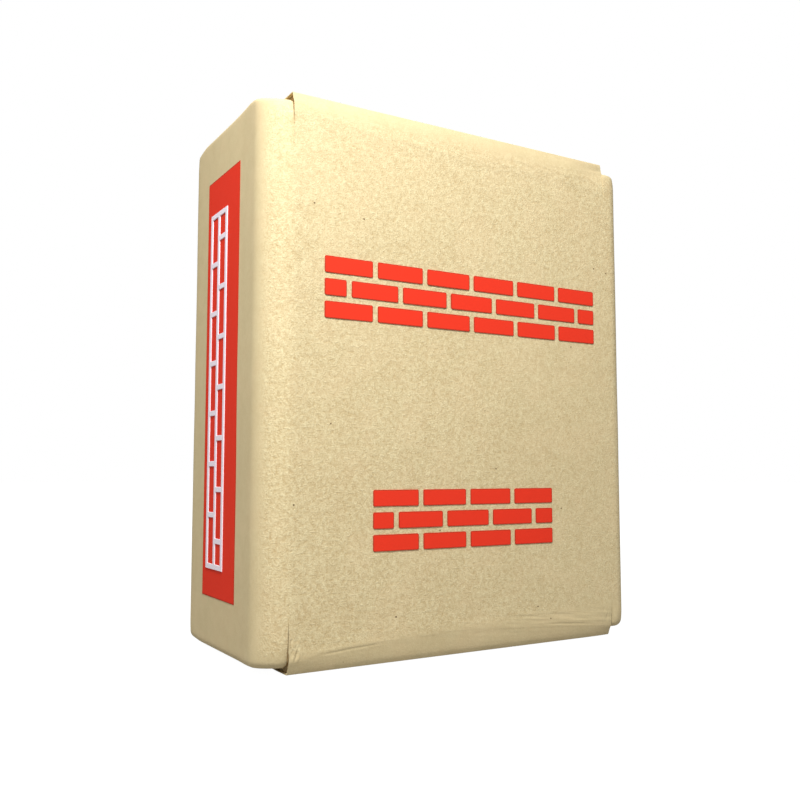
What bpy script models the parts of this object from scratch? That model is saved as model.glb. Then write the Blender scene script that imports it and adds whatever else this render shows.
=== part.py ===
"""Filled kraft paper cement sack with folded block ends, standing on its bottom end.

Units are metres and +Z is up. The origin is on the floor, in the middle of the footprint. The broad front
face looks along -Y, and the narrow side face that carries the printed stripe looks along -X.
"""

import bpy
import bmesh

# Overall size of the filled sack, from crease to crease, side to side and front to back
SACK_HEIGHT = 0.490
SACK_WIDTH = 0.402
SACK_DEPTH = 0.195

# Rounding of the upright edges, of the rims above and below the side faces, and of the rims of the wings
UPRIGHT_RADIUS = 0.015
SIDE_RIM_RADIUS = 0.0035
WING_RIM_RADIUS = 0.009
EDGE_SEGMENTS = 7

# The folded end flaps run between the tucked corners, the wings, whose ends slope away from the creases
FLAP_HALF_LENGTH = 0.177
TOP_SIDE_RIM_DROP = 0.0005
TOP_WING_DROP = 0.0083
BOTTOM_SIDE_RIM_RISE = 0.0045
BOTTOM_WING_RISE = 0.0080
WING_SLOPE_START = 0.065

# Front and back of a flap: it leaves the broad face, stands proud of it, and leans in to its crease
CREASE_SETBACK = 0.0056
LEAN_HEIGHT = 0.0160
LEAN_BEND_HEIGHT = 0.0070
LEAN_BEND_SETBACK = 0.0021
FLAP_RISE = 0.0004
TOP_FLAP_REACH = 0.0340
BOTTOM_FLAP_REACH = 0.0470
BURIED_INSET = 0.0100
BURIED_HEIGHT = 0.0200

# Cover sheets pasted over the folded ends
PATCH_THICKNESS = 0.0005
PATCH_MARGIN = 0.0050
PATCH_CORNER_RADIUS = 0.0040
PATCH_CORNER_SEGMENTS = 4
CONTACT_GAP = 0.0003

# Heights that follow from the sizes above
BOTTOM_CREASE_Z = PATCH_THICKNESS + CONTACT_GAP
TOP_CREASE_Z = BOTTOM_CREASE_Z + SACK_HEIGHT
BOTTOM_RIM_Z = BOTTOM_CREASE_Z + BOTTOM_SIDE_RIM_RISE
TOP_RIM_Z = TOP_CREASE_Z - TOP_SIDE_RIM_DROP

# Linear colours of the papers, with their roughness
KRAFT_COLOUR = (0.66, 0.54, 0.34)
PATCH_COLOUR = (0.60, 0.48, 0.30)
PAPER_ROUGHNESS = 0.85
SMOOTH_ANGLE = 0.60


def clear_scene():
    """Remove every object that the file starts with."""
    for obj in list(bpy.data.objects):
        bpy.data.objects.remove(obj, do_unlink=True)


def paper_material(name, colour):
    """Matt paper in one colour."""
    material = bpy.data.materials.new(name)
    material.use_nodes = True
    shader = material.node_tree.nodes["Principled BSDF"]
    shader.inputs["Base Color"].default_value = (*colour, 1.0)
    shader.inputs["Roughness"].default_value = PAPER_ROUGHNESS
    shader.inputs["Metallic"].default_value = 0.0
    return material


def object_from(bm, name, material=None):
    """Link a new object that holds the bmesh, with its faces pointing out."""
    bmesh.ops.recalc_face_normals(bm, faces=bm.faces)
    mesh = bpy.data.meshes.new(name)
    bm.to_mesh(mesh)
    bm.free()
    obj = bpy.data.objects.new(name, mesh)
    bpy.context.collection.objects.link(obj)
    if material:
        mesh.materials.append(material)
    return obj


def add_box(bm, size, centre):
    """Add an upright box of the given size around a centre."""
    made = bmesh.ops.create_cube(bm, size=1.0)
    bmesh.ops.scale(bm, vec=size, verts=made["verts"])
    bmesh.ops.translate(bm, vec=centre, verts=made["verts"])


def slope_wings(bm):
    """Let both ends slope away from the creases, from the side rims' middle to the wings."""
    for y in (-WING_SLOPE_START, WING_SLOPE_START):
        everything = bm.verts[:] + bm.edges[:] + bm.faces[:]
        bmesh.ops.bisect_plane(bm, geom=everything, plane_co=(0.0, y, 0.0), plane_no=(0.0, 1.0, 0.0))
    top_drop = TOP_WING_DROP - TOP_SIDE_RIM_DROP
    bottom_rise = BOTTOM_WING_RISE - BOTTOM_SIDE_RIM_RISE
    middle = (TOP_RIM_Z + BOTTOM_RIM_Z) / 2
    for vert in bm.verts:
        if abs(vert.co.y) > (WING_SLOPE_START + SACK_DEPTH / 2) / 2:
            vert.co.z += bottom_rise if vert.co.z < middle else -top_drop


def rim_radius(edge):
    """Rounding of an edge of the body: upright, above or below a side face, or along a wing."""
    run = edge.verts[1].co - edge.verts[0].co
    centre = (edge.verts[0].co + edge.verts[1].co) / 2
    on_side = abs(centre.x) > SACK_WIDTH / 2 - CONTACT_GAP
    on_front_or_back = abs(centre.y) > SACK_DEPTH / 2 - CONTACT_GAP
    if abs(run.z) > SACK_HEIGHT / 2:
        return UPRIGHT_RADIUS if on_side and on_front_or_back else 0.0
    if on_side:
        return SIDE_RIM_RADIUS
    return WING_RIM_RADIUS if on_front_or_back else 0.0


def filled_body(material):
    """The tight, box-like body, rounded along its upright edges and its rims."""
    bm = bmesh.new()
    add_box(bm, (SACK_WIDTH, SACK_DEPTH, TOP_RIM_Z - BOTTOM_RIM_Z), (0.0, 0.0, (TOP_RIM_Z + BOTTOM_RIM_Z) / 2))
    slope_wings(bm)
    weight = bm.edges.layers.float.new("bevel_weight_edge")
    for edge in bm.edges:
        edge[weight] = rim_radius(edge) / UPRIGHT_RADIUS
    body = object_from(bm, "paper_sack", material)
    rounding = body.modifiers.new("round_edges", "BEVEL")
    rounding.limit_method = "WEIGHT"
    rounding.width = UPRIGHT_RADIUS
    rounding.segments = EDGE_SEGMENTS
    return body


def flap_stations(reach):
    """Distance from the crease and half depth of a folded end, from its crease to inside the body."""
    face = SACK_DEPTH / 2
    return [
        (0.0, face - CREASE_SETBACK),
        (LEAN_BEND_HEIGHT, face - LEAN_BEND_SETBACK),
        (LEAN_HEIGHT, face + FLAP_RISE),
        (reach, face - FLAP_RISE / 2),
        (reach + BURIED_HEIGHT, face - BURIED_INSET),
    ]


def folded_end(name, crease_z, inward, reach):
    """Block of one folded end, which the body takes in; inward is +1 at the bottom and -1 at the top."""
    bm = bmesh.new()
    loops = []
    for distance, half_depth in flap_stations(reach):
        corners = (
            (-FLAP_HALF_LENGTH, -half_depth),
            (FLAP_HALF_LENGTH, -half_depth),
            (FLAP_HALF_LENGTH, half_depth),
            (-FLAP_HALF_LENGTH, half_depth),
        )
        ring = [bm.verts.new((x, y, crease_z + inward * distance)) for x, y in corners]
        loops.append([bm.edges.new((ring[i], ring[i - 1])) for i in range(len(ring))])
    for outer, inner in zip(loops, loops[1:]):
        bmesh.ops.bridge_loops(bm, edges=outer + inner)
    bmesh.ops.holes_fill(bm, edges=loops[0] + loops[-1], sides=len(loops[0]))
    block = object_from(bm, name)
    block.hide_render = True
    block.display_type = "WIRE"
    return block


def fuse(target, block):
    """Take a folded end into the body as one solid."""
    union = target.modifiers.new(f"take_in_{block.name}", "BOOLEAN")
    union.operation = "UNION"
    union.solver = "EXACT"
    union.object = block


def end_patch(name, low_z, material):
    """Thin cover sheet over one end, with its corners cut round."""
    bm = bmesh.new()
    length = 2 * (FLAP_HALF_LENGTH - PATCH_MARGIN)
    breadth = SACK_DEPTH - 2 * (CREASE_SETBACK + PATCH_MARGIN)
    add_box(bm, (length, breadth, PATCH_THICKNESS), (0.0, 0.0, low_z + PATCH_THICKNESS / 2))
    upright = [e for e in bm.edges if abs(e.verts[0].co.z - e.verts[1].co.z) > PATCH_THICKNESS / 2]
    bmesh.ops.bevel(
        bm,
        geom=upright,
        offset=PATCH_CORNER_RADIUS,
        segments=PATCH_CORNER_SEGMENTS,
        profile=0.5,
        affect="EDGES",
    )
    return object_from(bm, name, material)


def shade_by_angle(obj):
    """Shade round stretches smooth and keep folds and rims sharp."""
    obj.data.shade_smooth()
    obj.data.set_sharp_from_angle(angle=SMOOTH_ANGLE)


def build():
    """Build the sack and its two cover sheets."""
    clear_scene()
    sack = filled_body(paper_material("kraft_paper", KRAFT_COLOUR))
    fuse(sack, folded_end("top_fold_block", TOP_CREASE_Z, -1, TOP_FLAP_REACH))
    fuse(sack, folded_end("bottom_fold_block", BOTTOM_CREASE_Z, 1, BOTTOM_FLAP_REACH))
    patch_paper = paper_material("patch_paper", PATCH_COLOUR)
    top = end_patch("top_end_patch", TOP_CREASE_Z + CONTACT_GAP, patch_paper)
    bottom = end_patch("bottom_end_patch", 0.0, patch_paper)
    for piece in (sack, top, bottom):
        shade_by_angle(piece)


build()
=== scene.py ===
"""Looks of a filled kraft paper cement sack with folded block ends, built around its fixed frame.

Everything is in metres with +Z up. The sack stands on its bottom end, its printed broad face looks along -Y,
and the side face with the red stripe looks along -X.
"""

import logging
import math
from contextlib import contextmanager
from dataclasses import dataclass, field
from enum import Enum
from typing import Callable, Iterator, Sequence

import bmesh
import bpy
from mathutils import Euler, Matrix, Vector


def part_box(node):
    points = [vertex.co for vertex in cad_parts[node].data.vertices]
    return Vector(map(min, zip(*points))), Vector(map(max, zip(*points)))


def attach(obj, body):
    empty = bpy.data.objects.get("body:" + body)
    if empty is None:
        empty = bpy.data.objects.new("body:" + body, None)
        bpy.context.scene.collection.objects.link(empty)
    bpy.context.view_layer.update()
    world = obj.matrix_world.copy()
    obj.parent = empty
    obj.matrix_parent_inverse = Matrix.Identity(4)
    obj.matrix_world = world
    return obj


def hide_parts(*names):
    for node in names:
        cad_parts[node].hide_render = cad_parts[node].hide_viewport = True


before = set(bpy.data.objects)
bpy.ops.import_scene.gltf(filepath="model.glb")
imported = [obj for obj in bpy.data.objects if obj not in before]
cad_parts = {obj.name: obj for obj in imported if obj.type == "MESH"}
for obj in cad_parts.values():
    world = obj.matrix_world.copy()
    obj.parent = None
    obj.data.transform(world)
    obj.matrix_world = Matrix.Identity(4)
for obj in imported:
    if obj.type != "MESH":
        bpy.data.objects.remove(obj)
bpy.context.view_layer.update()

log = logging.getLogger("cement_sack")

Point2 = tuple[float, float]
Span = tuple[float, float]
Band = tuple[float, float, float, float]
Colour = tuple[float, float, float]
Weight = Callable[[Vector], float]

ACROSS = Vector((1.0, 0.0, 0.0))
ALONG = Vector((0.0, 1.0, 0.0))
UP = Vector((0.0, 0.0, 1.0))

# Places nearer than this count as the same, and a face this square to an axis looks along it
TOUCH = 1e-5
SQUARELY = 0.9


class End(Enum):
    """The two folded ends of the sack. The value points out of the end, along Z."""

    TOP = 1
    BOTTOM = -1


class Face(Enum):
    """The two broad faces of the sack. The value points out of the face, along Y."""

    FRONT = -1
    BACK = 1


class Flank(Enum):
    """The two narrow sides of the sack. The value points out of the side, along X."""

    LEFT = -1
    RIGHT = 1


@dataclass(frozen=True)
class Bend:
    """A corner of a fold's outline: its place and how far it is rounded."""

    out: float
    depth: float
    radius: float = 0.0


@dataclass(frozen=True)
class SackSizes:
    """Sizes that the sack's pieces share.

    Places come from the fixed frame, and the folds follow those of its folded ends. The leans' corners are
    measured outwards from the broad face and inwards from the crease, and other depths from the crease too.
    A band says where a form starts, is full, begins to fade and is gone, and a rise or a fall is half of one.
    """

    half_width: float
    half_depth: float
    bottom_crease: float
    top_crease: float
    upright_radius: float = 0.015
    soft_radius: float = 0.028
    top_rim_radius: float = 0.0036
    bottom_rim_radius: float = 0.0060
    top_rim_drop: float = 0.0005
    bottom_rim_rise: float = 0.0036
    flap_half: float = 0.177
    top_reach: float = 0.034
    bottom_reach: float = 0.047
    past_middle: float = 0.012
    top_lean: tuple[Bend, ...] = (
        Bend(0.0002, 0.0160, 0.040),
        Bend(-0.0010, 0.0085, 0.030),
        Bend(-0.0031, 0.0, 0.0010),
    )
    bottom_lean: tuple[Bend, ...] = (
        Bend(0.0002, 0.0160, 0.020),
        Bend(-0.0013, 0.0085, 0.030),
        Bend(-0.0026, 0.0042, 0.012),
        Bend(-0.0045, 0.0, 0.0016),
    )
    flap_rise: float = 0.0004
    bow_middle: float = 0.0060
    bow_ends: float = -0.0040
    bow_band: Band = (0.004, 0.016, 0.020, 0.045)
    top_curl: float = 0.0024
    bottom_curl: float = 0.0014
    top_curl_length: float = 0.050
    bottom_curl_length: float = 0.026
    top_curl_rise: Span = (0.0, 0.010)
    curl_fall: Span = (0.012, 0.034)
    top_crown: float = 0.0011
    crown_edge: float = 0.076
    ply: float = 0.0008

    @classmethod
    def read(cls) -> "SackSizes":
        """Read the sack's box from the frame, with the broad faces taken without the flaps' rise."""
        low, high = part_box("paper_sack")
        return cls(high.x, high.y - cls.flap_rise, low.z, high.z)

    def crease(self, end: End) -> float:
        """Height of an end's crease plane."""
        return self.top_crease if end is End.TOP else self.bottom_crease

    def rim(self, end: End) -> float:
        """Height of the rims above and below the narrow sides."""
        inset = self.top_rim_drop if end is End.TOP else self.bottom_rim_rise
        return self.crease(end) - end.value * inset

    def rim_radius(self, end: End) -> float:
        """Rounding of the rims of the body at one end."""
        return self.top_rim_radius if end is End.TOP else self.bottom_rim_radius

    def edge_radius(self, place: Vector) -> float:
        """Rounding of the upright edge nearest to a place: the front left one is softer than the rest."""
        return self.soft_radius if place.x < 0.0 and place.y < 0.0 else self.upright_radius

    def flap_reach(self, end: End) -> float:
        """How far down the broad face an end's flap can be told from the body."""
        return self.top_reach if end is End.TOP else self.bottom_reach

    def crown(self, end: End) -> float:
        """How far the plies below lift the middle of an end, which they do at the top."""
        return self.top_crown if end is End.TOP else 0.0

    def depth(self, end: End, place: Vector) -> float:
        """How far a place lies inward of an end's crease plane."""
        return (self.crease(end) - place.z) * end.value

    def lean(self, end: End) -> tuple[Bend, ...]:
        """The corners of an end's leaning flaps, from the broad face to the crease."""
        return self.top_lean if end is End.TOP else self.bottom_lean

    def curl(self, end: End, face: Face, place: Vector) -> float:
        """How far a flap's free end is curled in: the right end in front and the left one at the back.

        Args:
            end: The end of the sack.
            face: The broad face that the flap comes from.
            place: The point on the straight flap.

        Returns:
            The distance inwards along Y.
        """
        from_end = self.flap_half + face.value * place.x
        depth = self.depth(end, place)
        fade = 1.0 - smoothstep(*self.curl_fall, depth)
        if end is End.TOP:
            near = 1.0 - smoothstep(0.0, self.top_curl_length, from_end)
            return self.top_curl * near * fade * smoothstep(*self.top_curl_rise, depth)
        near = min(max(1.0 - from_end / self.bottom_curl_length, 0.0), 1.0)
        return self.bottom_curl * near * near * fade

    def bowed(self, place: Vector) -> Vector:
        """Move a point of a flap so that the line where the flap starts to lean in is a shallow arch.

        Args:
            place: The point on the straight flap.

        Returns:
            The point on the arched one.
        """
        across = place.x / self.flap_half
        bow = self.bow_middle + (self.bow_ends - self.bow_middle) * across * across
        moved = place.copy()
        for end in End:
            moved.z -= end.value * bow * hump(*self.bow_band, self.depth(end, place))
        return moved


def leave_nothing_selected() -> None:
    """Go to object mode with no object selected."""
    if bpy.context.object and bpy.context.object.mode != "OBJECT":
        bpy.ops.object.mode_set(mode="OBJECT")
    bpy.ops.object.select_all(action="DESELECT")


def make_active(obj: bpy.types.Object) -> None:
    """Select one object alone and make it active.

    Args:
        obj: The object that the next operators act on.
    """
    leave_nothing_selected()
    obj.select_set(True)
    bpy.context.view_layer.objects.active = obj


@contextmanager
def editing(obj: bpy.types.Object, mode: str = "FACE") -> Iterator[None]:
    """Open an object in edit mode with everything deselected.

    Args:
        obj: The object to edit.
        mode: What is selected: VERT, EDGE or FACE.
    """
    make_active(obj)
    bpy.ops.object.mode_set(mode="EDIT")
    bpy.ops.mesh.select_mode(type=mode)
    bpy.ops.mesh.select_all(action="DESELECT")
    yield
    bpy.ops.object.mode_set(mode="OBJECT")


def pick(kind: str, wanted: Callable[[object], bool]) -> None:
    """Select the parts of the edited mesh that pass a test, and nothing else.

    Args:
        kind: verts, edges or faces.
        wanted: The test, which is given each part.
    """
    mesh = bpy.context.object.data
    shape = bmesh.from_edit_mesh(mesh)
    for group in (shape.verts, shape.edges, shape.faces):
        for part in group:
            part.select = False
    chosen = [part for part in getattr(shape, kind) if wanted(part)]
    for part in chosen:
        part.select_set(True)
    bmesh.update_edit_mesh(mesh)


def cut(normal: Vector, at: float) -> None:
    """Divide the whole edited mesh along the plane that lies so far from the origin along its normal."""
    bpy.ops.mesh.select_all(action="SELECT")
    bpy.ops.mesh.bisect(plane_co=normal * at, plane_no=normal)


def round_off(radius: float, segments: int) -> None:
    """Round the selected edges of the edited mesh."""
    bpy.ops.mesh.bevel(offset=radius, segments=segments, profile=0.5, affect="EDGES")


def place_and_name(name: str) -> bpy.types.Object:
    """Put the new object's place, turn and size into its mesh, and name both.

    Args:
        name: The name.

    Returns:
        The object.
    """
    bpy.ops.object.transform_apply(location=True, rotation=True, scale=True)
    obj = bpy.context.object
    obj.name = name
    obj.data.name = name
    return obj


def add_block(name: str, size: Sequence[float], centre: Sequence[float]) -> bpy.types.Object:
    """Add an upright block, with its place in its mesh.

    Args:
        name: The new object's name.
        size: Its length along X, Y and Z.
        centre: Its middle.

    Returns:
        The block.
    """
    leave_nothing_selected()
    bpy.ops.mesh.primitive_cube_add(size=1.0, location=centre)
    bpy.context.object.scale = size
    return place_and_name(name)


def apply_modifier(obj: bpy.types.Object, kind: str, **settings: object) -> None:
    """Add a modifier to an object and apply it.

    Args:
        obj: The object to change.
        kind: The modifier's type.
        settings: The modifier's values.
    """
    make_active(obj)
    modifier = obj.modifiers.new(kind.lower(), kind)
    for key, value in settings.items():
        setattr(modifier, key, value)
    bpy.ops.object.modifier_apply(modifier=modifier.name)


def combine(target: bpy.types.Object, tool: bpy.types.Object, operation: str) -> None:
    """Join a tool's solid to a target by UNION, or cut it away by DIFFERENCE, and delete the tool."""
    apply_modifier(target, "BOOLEAN", operation=operation, solver="EXACT", object=tool)
    bpy.data.objects.remove(tool, do_unlink=True)


def join(pieces: Sequence[bpy.types.Object], name: str) -> bpy.types.Object:
    """Join several mesh objects into one.

    Args:
        pieces: The objects, the first of which keeps its place in the list of objects.
        name: The joined object's name.

    Returns:
        The joined object.
    """
    make_active(pieces[0])
    for piece in pieces:
        piece.select_set(True)
    bpy.ops.object.join()
    pieces[0].name = name
    pieces[0].data.name = name
    return pieces[0]


def copy_to(piece: bpy.types.Object, shift: Sequence[float]) -> bpy.types.Object:
    """Copy an object with its own mesh, moved by a step that goes into the mesh.

    Args:
        piece: The object to copy.
        shift: The move along X, Y and Z.

    Returns:
        The copy.
    """
    make_active(piece)
    bpy.ops.object.duplicate()
    bpy.ops.transform.translate(value=shift)
    bpy.ops.object.transform_apply(location=True, rotation=True, scale=True)
    return bpy.context.object


def smoothstep(low: float, high: float, value: float) -> float:
    """Rise gently from 0 at low to 1 at high."""
    share = min(max((value - low) / (high - low), 0.0), 1.0)
    return share * share * (3.0 - 2.0 * share)


def hump(start: float, full: float, fades: float, gone: float, value: float) -> float:
    """Rise gently from 0 at start to 1 at full, and fall back to 0 from fades to gone."""
    return smoothstep(start, full, value) * (1.0 - smoothstep(fades, gone, value))


def folded_line(bends: Sequence[Bend], steps: Callable[[float], float]) -> list[Point2]:
    """Follow a fold's outline, with its corners rounded and its straights divided.

    Args:
        bends: The corners, from one end of the paper to the other.
        steps: The longest distance between two points, by how far out they are.

    Returns:
        The points, as pairs of out and depth.
    """
    arc_step = math.radians(11.0)
    sharp_reach = 1e-6
    knots: list[Vector] = [Vector((bends[0].out, bends[0].depth))]
    for before, corner, after in zip(bends, bends[1:], bends[2:]):
        here = Vector((corner.out, corner.depth))
        arriving = (here - Vector((before.out, before.depth))).normalized()
        leaving = (Vector((after.out, after.depth)) - here).normalized()
        turn = arriving.angle_signed(leaving)
        reach = corner.radius * math.tan(abs(turn) / 2.0)
        count = max(1, math.ceil(abs(turn) / arc_step))
        start = here - arriving * reach
        if reach < sharp_reach:
            knots.append(here)
            continue
        for i in range(count + 1):
            share = i / count
            knots.append(start.lerp(here, share).lerp(here.lerp(here + leaving * reach, share), share))
    knots.append(Vector((bends[-1].out, bends[-1].depth)))
    line: list[Point2] = [tuple(knots[0])]
    for a, b in zip(knots, knots[1:]):
        parts = max(1, math.ceil((b - a).length / steps((a.x + b.x) / 2.0)))
        line.extend(tuple(a.lerp(b, i / parts)) for i in range(1, parts + 1))
    return line


def sweep_paper(
    name: str,
    low: float,
    high: float,
    columns: int,
    route: Sequence[Vector],
    extra_cuts: Sequence[float] = (),
) -> bpy.types.Object:
    """Draw out a sheet of paper from a line that runs along X.

    Args:
        name: The sheet's name.
        low: Where the line starts on X.
        high: Where it ends.
        columns: How many faces it has along X.
        route: The points that the line is drawn through, of which only Y and Z count.
        extra_cuts: Places on X where the line is divided once more.

    Returns:
        The open sheet, one face deep.
    """
    leave_nothing_selected()
    start = Vector((0.0, route[0].y, route[0].z))
    middle = Vector(((low + high) / 2.0, start.y, start.z))
    size = high - low
    bpy.ops.mesh.primitive_grid_add(x_subdivisions=columns, y_subdivisions=1, size=size, location=middle)
    sheet = place_and_name(name)
    with editing(sheet, "VERT"):
        pick("verts", lambda v: v.co.y < start.y)
        bpy.ops.mesh.delete(type="VERT")
        bpy.ops.mesh.select_all(action="SELECT")
        bpy.ops.transform.translate(value=(0.0, -size / 2.0, 0.0))
        bpy.ops.mesh.select_mode(type="EDGE")
        for at in extra_cuts:
            cut(ACROSS, at)
        bpy.ops.mesh.select_all(action="SELECT")
        for a, b in zip(route, route[1:]):
            bpy.ops.mesh.extrude_region_move(TRANSFORM_OT_translate={"value": (0.0, b.y - a.y, b.z - a.z)})
    return sheet


def thicken_paper(sheet: bpy.types.Object, thickness: float, outward: Vector) -> None:
    """Give a sheet its thickness, inwards from the surface that it was drawn as.

    Args:
        sheet: The open sheet.
        thickness: The paper's thickness.
        outward: The way that the sheet's first faces look.
    """
    if sheet.data.polygons[0].normal.dot(outward) < 0:
        with editing(sheet):
            bpy.ops.mesh.select_all(action="SELECT")
            bpy.ops.mesh.flip_normals()
    apply_modifier(sheet, "SOLIDIFY", thickness=thickness, offset=-1.0, use_even_offset=True)
    with editing(sheet):
        bpy.ops.mesh.select_all(action="SELECT")
        bpy.ops.mesh.normals_make_consistent(inside=False)


@dataclass(frozen=True)
class Relief:
    """Unevenness of handled paper, worked into a mesh as real shape."""

    strength: float
    feature: tuple[float, float, float]
    detail: int = 1
    direction: str = "NORMAL"
    shift: tuple[float, float, float] = (0.0, 0.0, 0.0)
    turn: float = 0.0

    def work_into(self, obj: bpy.types.Object, weight: Weight) -> None:
        """Push the mesh's points in and out by a soft noise.

        Args:
            obj: The mesh object.
            weight: How much of the relief a place gets, from 0 to 1.
        """
        group = obj.vertex_groups.new(name="relief")
        for vertex in obj.data.vertices:
            share = weight(vertex.co)
            if share > 0.0:
                group.add([vertex.index], share, "REPLACE")
        leave_nothing_selected()
        bpy.ops.object.empty_add(location=self.shift)
        guide = bpy.context.object
        guide.scale = self.feature
        guide.rotation_euler = (0.0, self.turn, 0.0)
        bpy.context.view_layer.update()
        clouds = bpy.data.textures.new("relief", "CLOUDS")
        clouds.noise_scale = 1.0
        clouds.noise_depth = self.detail
        apply_modifier(
            obj,
            "DISPLACE",
            texture=clouds,
            texture_coords="OBJECT",
            texture_coords_object=guide,
            vertex_group=group.name,
            strength=self.strength,
            mid_level=0.5,
            direction=self.direction,
        )
        bpy.data.objects.remove(guide, do_unlink=True)
        bpy.data.textures.remove(clouds)
        obj.vertex_groups.clear()


class Signal:
    """A shader value that takes part in Python expressions by adding Math nodes."""

    def __init__(self, bench: "Bench", socket: bpy.types.NodeSocket) -> None:
        """Wrap one output socket of a bench's node tree."""
        self.bench = bench
        self.socket = socket

    def _math(self, operation: str, first: object, second: object) -> "Signal":
        """Add a Math node."""
        return self.bench.add("ShaderNodeMath", {"operation": operation}, {0: first, 1: second})["Value"]

    def __add__(self, other: object) -> "Signal":
        """Add."""
        return self._math("ADD", self, other)

    def __radd__(self, other: object) -> "Signal":
        """Add from the right."""
        return self._math("ADD", other, self)

    def __sub__(self, other: object) -> "Signal":
        """Subtract."""
        return self._math("SUBTRACT", self, other)

    def __rsub__(self, other: object) -> "Signal":
        """Subtract from a number."""
        return self._math("SUBTRACT", other, self)

    def __mul__(self, other: object) -> "Signal":
        """Multiply."""
        return self._math("MULTIPLY", self, other)

    def below(self, level: object) -> "Signal":
        """1 where the value is below a level, and 0 elsewhere."""
        return self._math("LESS_THAN", self, level)

    def highest(self, other: object) -> "Signal":
        """The higher of two values."""
        return self._math("MAXIMUM", self, other)

    def lowest(self, other: object) -> "Signal":
        """The lower of two values."""
        return self._math("MINIMUM", self, other)

    def away(self) -> "Signal":
        """The value without its sign."""
        return self._math("ABSOLUTE", self, 0.0)

    def ramp(self, low: float, high: float) -> "Signal":
        """Rise gently from 0 to 1 with the value.

        Args:
            low: The value up to which it is 0.
            high: The value from which it is 1.

        Returns:
            The share between them.
        """
        spread = {"interpolation_type": "SMOOTHSTEP"}
        values = {"Value": self, "From Min": low, "From Max": high, "To Min": 0.0, "To Max": 1.0}
        return self.bench.add("ShaderNodeMapRange", spread, values)["Result"]


def in_use(sockets: Sequence[bpy.types.NodeSocket], name: str) -> bpy.types.NodeSocket:
    """The socket of that name that is in use."""
    return next(socket for socket in sockets if socket.name == name and socket.enabled)


class Placed:
    """A node that was added to the bench, with its outputs by name."""

    def __init__(self, bench: "Bench", node: bpy.types.Node) -> None:
        """Wrap one node of a bench's node tree."""
        self.bench = bench
        self.node = node

    def __getitem__(self, name: str) -> Signal:
        """The output of that name that is in use."""
        return Signal(self.bench, in_use(self.node.outputs, name))


class Bench:
    """The node tree of one material."""

    def __init__(self, name: str) -> None:
        """Start a material with nothing but the object's coordinates.

        Args:
            name: The material's name.
        """
        self.material = bpy.data.materials.new(name)
        self.material.use_nodes = True
        self.tree = self.material.node_tree
        self.tree.nodes.clear()
        self.coordinates = self.add("ShaderNodeTexCoord", {}, {})["Object"]

    def add(self, kind: str, settings: dict[str, object], sockets: dict[object, object]) -> Placed:
        """Add a node, set it up and feed it.

        Args:
            kind: The node's type.
            settings: The node's own values, set first.
            sockets: Values or links for its inputs, by name or number.

        Returns:
            The node with its outputs by name.
        """
        node = self.tree.nodes.new(kind)
        for key, value in settings.items():
            setattr(node, key, value)
        for key, value in sockets.items():
            socket = node.inputs[key] if isinstance(key, int) else in_use(node.inputs, key)
            if isinstance(value, Signal):
                self.tree.links.new(value.socket, socket)
            elif isinstance(value, tuple) and socket.type == "RGBA":
                socket.default_value = (*value, 1.0)
            else:
                socket.default_value = value
        return Placed(self, node)

    def noise(self, feature: float, detail: float, rough: float, where: Signal | None = None) -> Signal:
        """Soft noise around one half: its spots are feature metres wide, with detail finer layers."""
        values = {"Scale": 1.0 / feature, "Detail": detail, "Roughness": rough}
        return self.add("ShaderNodeTexNoise", {}, {"Vector": where or self.coordinates, **values})["Fac"]

    def stretched(self, scale: tuple[float, float, float], turn: tuple[float, float, float]) -> Signal:
        """The object's coordinates turned and stretched, for a pattern with a grain."""
        values = {"Vector": self.coordinates, "Scale": scale, "Rotation": turn}
        return self.add("ShaderNodeMapping", {}, values)["Vector"]

    def mix(self, share: object, low: object, high: object) -> Signal:
        """Mix two colours."""
        values = {"Factor": share, "A": low, "B": high}
        return self.add("ShaderNodeMix", {"data_type": "RGBA"}, values)["Result"]

    def bump(self, strength: float, distance: float, height: Signal) -> Signal:
        """The surface's normal, roughened by a height."""
        values = {"Strength": strength, "Distance": distance, "Height": height}
        return self.add("ShaderNodeBump", {}, values)["Normal"]

    def finish(self, **sockets: object) -> bpy.types.Material:
        """Close the material with its surface shader.

        Args:
            sockets: Values or links for the shader's inputs, with _ for a space in a name.

        Returns:
            The material.
        """
        values = {key.replace("_", " "): value for key, value in sockets.items()}
        surface = self.add("ShaderNodeBsdfPrincipled", {}, values)
        self.add("ShaderNodeOutputMaterial", {}, {"Surface": surface["BSDF"]})
        return self.material


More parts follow.
